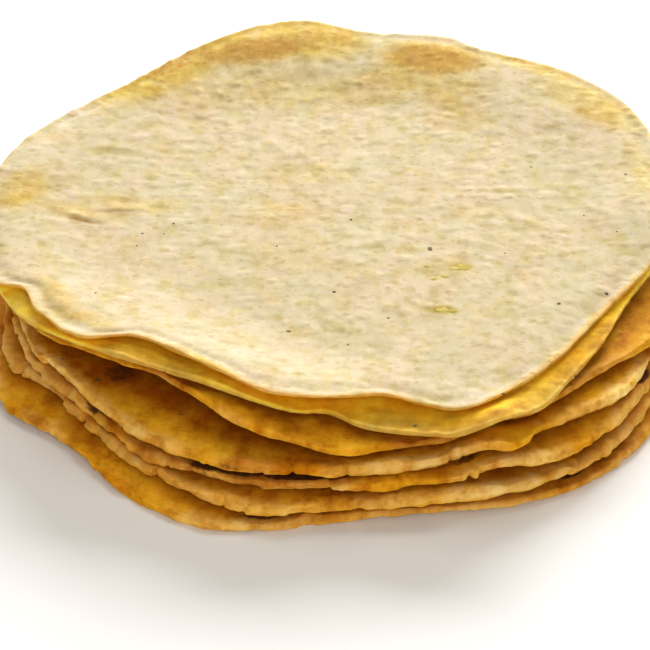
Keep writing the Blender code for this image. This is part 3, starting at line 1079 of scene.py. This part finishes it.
# The lower tortillas' deep, saturated golden is partly their own colour and partly painted shade of the gaps.
LOWER_MASA = Masa(
    light=((0.88, 0.48, 0.026), (0.98, 0.76, 0.36)),
    middle=((0.79, 0.39, 0.012), (0.97, 0.68, 0.22)),
    dark=((0.58, 0.24, 0.005), (0.80, 0.45, 0.08)),
    cloud=(0.88, 0.80, 0.66),
    # Darkens as painted shade.
    damp=(0.54, 0.35, 0.16),
    grain=0.7,
    reach=1.0,
    sheen=0.08,
)
SECOND_MASA = Masa(
    light=((0.57, 0.37, 0.045), (0.70, 0.51, 0.16)),
    middle=((0.51, 0.305, 0.026), (0.64, 0.45, 0.11)),
    dark=((0.45, 0.245, 0.018), (0.55, 0.36, 0.07)),
    cloud=(0.95, 0.90, 0.82),
    # Brightens as painted glow.
    damp=(1.95, 1.90, 0.72),
    grain=0.3,
    reach=2.4,
    sheen=0.08,
)
TOP_MASA = Masa(
    light=((0.58, 0.44, 0.115), (0.588, 0.502, 0.336)),
    middle=((0.50, 0.355, 0.062), (0.538, 0.460, 0.288)),
    dark=((0.42, 0.27, 0.034), (0.472, 0.400, 0.218)),
    cloud=(1.04, 0.975, 1.0),
    # Brightens as painted glow.
    damp=(1.8, 1.3, 0.50),
    grain=0.24,
    reach=1.0,
    sheen=0.18,
)
MASAS = (LOWER_MASA,) * SECOND + (SECOND_MASA, TOP_MASA)

# How matt all masa is, how much light goes into it and in what tint, and how high its grain stands at most.
MASA_ROUGHNESS = 0.82
SUBSURFACE_SHARE = 0.8
SUBSURFACE_TINT = (1.0, 0.65, 0.30)
GRAIN_HEIGHT = 0.16

# How far apart the textures of two tortillas are taken, in metres, and how they are drawn out sideways.
TEXTURE_SHIFT = (0.31, 0.17, 0.0)
TEXTURE_SCALE = (1.2, 0.85, 1.0)

# The masks that each tortilla's mesh carries for its material.
MASKS = ("pale", "damp", "toast_and_shade", "scorch", "olive", "raised")

# How matt a fleck and the floor are, how much a fleck mirrors, and the floor's colour.
FLECK_ROUGHNESS = 0.8
FLECK_SHEEN = 0.12
FLOOR_COLOUR = (0.83, 0.83, 0.83)
FLOOR_ROUGHNESS = 0.7


def new_material(name, values):
    """A material, its node tree and its shader, with plain values set on the shader."""
    material = bpy.data.materials.new(name)
    material.use_nodes = True
    shader = material.node_tree.nodes["Principled BSDF"]
    for label, value in values.items():
        feed(material.node_tree, shader.inputs[label], value)
    return material, material.node_tree, shader


def baked_masa(level, groups):
    """A tortilla's material: pale and golden masa, mottled, brown-marked, with painted shade and glow,
    faintly see-through.
    """
    masa = MASAS[level]
    plain = {
        "Roughness": MASA_ROUGHNESS,
        "Specular IOR Level": masa.sheen,
        "Subsurface Weight": SUBSURFACE_SHARE,
        "Subsurface Radius": SUBSURFACE_TINT,
        "Subsurface Scale": masa.reach * MM,
    }
    material, tree, shader = new_material("masa_" + STACK[level].node, plain)
    where = add_node(tree, "TexCoord", {}).outputs["Object"]
    shift = tuple(level * step for step in TEXTURE_SHIFT)
    moved = add_node(tree, "Mapping", {"Vector": where, "Location": shift, "Scale": TEXTURE_SCALE})
    place = moved.outputs["Vector"]
    mask = {name: add_node(tree, "Attribute", {}, attribute_name=name).outputs["Fac"] for name in MASKS}
    dashes = use_group(tree, groups["dashes"], {"Place": place})["Dashes"]
    values = {"Place": place, "Raised": mask["raised"], "Dashes": dashes}
    values.update({"Cloud": masa.cloud, "Cloud share": 1.0})
    for label, pair in (("Light", masa.light), ("Middle", masa.middle), ("Dark", masa.dark)):
        values[label] = mixed(tree, mask["pale"], *pair)
    colour = use_group(tree, groups["mottle"], values)["Colour"]
    values = {"Place": place, "Colour": colour, "Damp tint": masa.damp}
    values.update({name.capitalize(): mask[name] for name in ("toast_and_shade", "scorch", "olive", "damp")})
    tree.links.new(use_group(tree, groups["marks"], values)["Colour"], shader.inputs["Base Color"])
    grain = use_group(tree, groups["grain"], {"Place": place, "Dashes": dashes})["Height"]
    relief = {"Strength": 1.0, "Distance": GRAIN_HEIGHT * masa.grain * MM, "Height": grain}
    tree.links.new(add_node(tree, "Bump", relief).outputs["Normal"], shader.inputs["Normal"])
    return material


def fleck_skin(name, colours, groups):
    """A fleck's material: its own light, middle and dark colour, mottled."""
    plain = {"Roughness": FLECK_ROUGHNESS, "Specular IOR Level": FLECK_SHEEN}
    material, tree, shader = new_material(name, plain)
    values = {"Place": add_node(tree, "TexCoord", {}).outputs["Object"], "Raised": 0.5}
    values.update({"Cloud": (1.0, 1.0, 1.0), "Cloud share": 0.0})
    values.update(zip(("Light", "Middle", "Dark"), colours))
    tree.links.new(use_group(tree, groups["mottle"], values)["Colour"], shader.inputs["Base Color"])
    return material


# ---- the stage

# Half the length of the floor's side.
FLOOR_HALF = 1500.0


def build_floor():
    """A plain square floor of matt white, far wider than what the camera sees."""
    corners = np.array([[-1, -1, 0], [1, -1, 0], [1, 1, 0], [-1, 1, 0]]) * FLOOR_HALF
    floor = add_mesh("floor", corners, np.array([[0, 1, 2, 3]]), np.zeros((0, 3), int))
    material, _, _ = new_material("floor_white", {"Base Color": FLOOR_COLOUR, "Roughness": FLOOR_ROUGHNESS})
    floor.data.materials.append(material)


# An oval softbox turned to the stack. Its bearing is clockwise from the back, and its sizes are in metres.
Softbox = namedtuple("Softbox", "name bearing elevation distance half_width half_height power colour")

SOFTBOXES = (
    Softbox("softbox_behind", 13.0, 22.5, 2.0, 0.90, 0.42, 84.0, (1.0, 1.0, 1.0)),
    Softbox("softbox_overhead", 0.0, 60.0, 2.0, 0.60, 0.60, 11.5, (1.0, 0.95, 0.87)),
    Softbox("card_in_front", 175.4, 30.9, 1.46, 0.50, 0.50, 9.5, (1.0, 0.94, 0.85)),
)
# The light that comes from all round.
AMBIENT = 0.30
AMBIENT_COLOUR = (1.0, 0.95, 0.87)


def put(thing, name, location, towards, front, up):
    """An object for a lamp or a camera, at a place, with its front axis turned towards a direction."""
    holder = bpy.data.objects.new(name, thing)
    holder.location = location
    holder.rotation_euler = towards.to_track_quat(front, up).to_euler()
    bpy.context.scene.collection.objects.link(holder)
    return holder


def light_stage():
    """A wide softbox low behind the stack, a fainter one overhead, a card in front and warm light around."""
    world = bpy.data.worlds.new("studio")
    world.use_nodes = True
    background = world.node_tree.nodes["Background"]
    feed(world.node_tree, background.inputs["Color"], AMBIENT_COLOUR)
    feed(world.node_tree, background.inputs["Strength"], AMBIENT)
    bpy.context.scene.world = world
    for softbox in SOFTBOXES:
        bearing = math.radians(softbox.bearing)
        elevation = math.radians(softbox.elevation)
        flat = math.cos(elevation)
        towards = Vector((math.sin(bearing) * flat, math.cos(bearing) * flat, math.sin(elevation)))
        light = bpy.data.lights.new(softbox.name, "AREA")
        light.shape = "ELLIPSE"
        light.size = 2.0 * softbox.half_width
        light.size_y = 2.0 * softbox.half_height
        light.energy = softbox.power
        light.color = softbox.colour
        put(light, softbox.name, towards * softbox.distance, towards, "Z", "Y")


# How high above the floor the camera looks from, in degrees, how far from what it aims at, its lens, and the
# nearest that it sees, in metres.
CAMERA_ELEVATION = 36.0
CAMERA_DISTANCE = 650.0
CAMERA_AIM = (-2.0, -32.0, 20.0)
CAMERA_LENS = 163.9
NEAREST_SEEN = 0.01


def place_camera():
    """A long lens in front of the stack, looking down at it."""
    tilt = math.radians(CAMERA_ELEVATION)
    away = Vector((0.0, -math.cos(tilt), math.sin(tilt)))
    camera = bpy.data.cameras.new("camera")
    camera.lens = CAMERA_LENS
    camera.clip_start = NEAREST_SEEN
    location = (Vector(CAMERA_AIM) + away * CAMERA_DISTANCE) * MM
    bpy.context.scene.camera = put(camera, "camera", location, -away, "-Z", "Y")


# ---- putting it together

place_camera()
build_floor()
light_stage()
bpy.context.scene.view_settings.view_transform = "Standard"

GROUPS = {"mottle": masa_mottle(), "marks": griddle_marks(), "dashes": skin_dashes(), "grain": meal_grain()}

for level, tortilla in enumerate(STACK):
    points, inside, upward, quads, triangles = build_tortilla(level)
    piece = add_mesh("baked_" + tortilla.node, points, quads, triangles)
    paint_masks(piece, level, points, inside, upward)
    piece.data.materials.append(baked_masa(level, GROUPS))
    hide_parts(tortilla.node)
    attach(piece, "root")

# Each kind of fleck: its name, where its flecks are, how high they stand, and their three colours.
FLECK_PIECES = (
    ("charred_specks", CHARRED_SPECKS, 0.10, ((0.16, 0.12, 0.06), (0.10, 0.07, 0.035), (0.05, 0.035, 0.018))),
    ("hull_scraps", HULL_SCRAPS, 0.07, ((0.52, 0.43, 0.13), (0.47, 0.37, 0.09), (0.37, 0.28, 0.055))),
)
for name, flecks, rise, colours in FLECK_PIECES:
    piece = add_mesh(name, *build_flecks(flecks, rise))
    piece.data.materials.append(fleck_skin(name, colours, GROUPS))
    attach(piece, "root")
